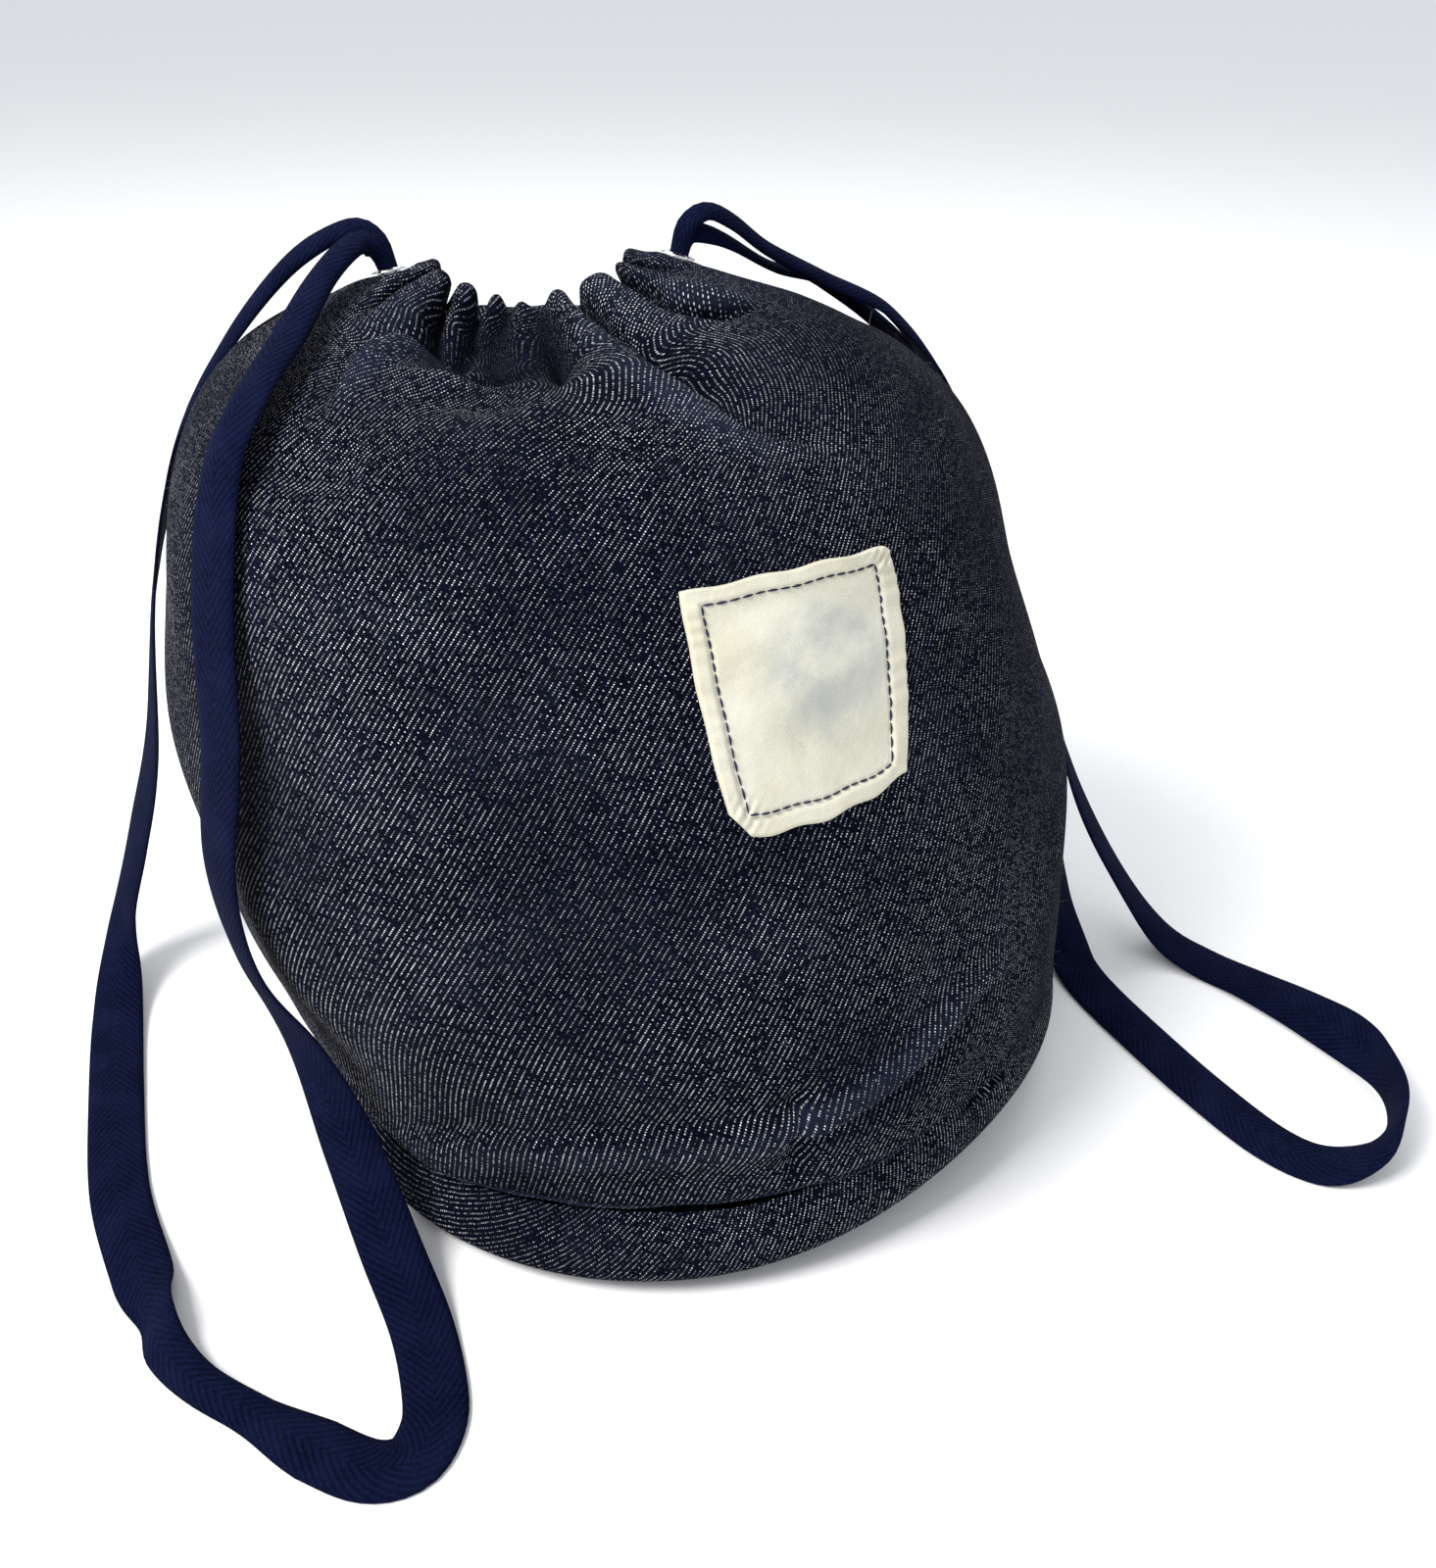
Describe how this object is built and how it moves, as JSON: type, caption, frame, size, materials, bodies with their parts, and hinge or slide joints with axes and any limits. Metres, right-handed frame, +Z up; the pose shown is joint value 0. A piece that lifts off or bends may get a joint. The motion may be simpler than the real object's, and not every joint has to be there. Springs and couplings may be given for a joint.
{
  "type": "drawstring pouch",
  "caption": "Small filled cloth pouch with a round base, a gathered mouth, metal eyelets, flat tape drawstrings in loops and a plain sewn patch.",
  "frame": {"origin": "near the middle of the underside of the base, on the surface the pouch stands on", "axes": "+Z up, -Y towards the side with the patch, +X to the right seen from that side"},
  "size_m": [0.3814, 0.2909, 0.2291],
  "materials": {
    "denim": "unwashed indigo twill, white weft specks, matt",
    "patch_cloth": "cream cotton twill, matt, lightly creased",
    "thread": "dark navy sewing thread",
    "tape": "navy herringbone cotton tape, matt",
    "eyelet_metal": "bright nickel-plated brass"
  },
  "bodies": {
    "root": {"body_panel": "denim", "base_panel": "denim", "patch": "patch_cloth", "patch_stitching": "thread", "left_eyelet": "eyelet_metal", "left_eyelet_washer": "eyelet_metal", "right_eyelet": "eyelet_metal", "right_eyelet_washer": "eyelet_metal", "left_drawstring": "tape", "right_drawstring": "tape"}
  },
  "joints": []
}
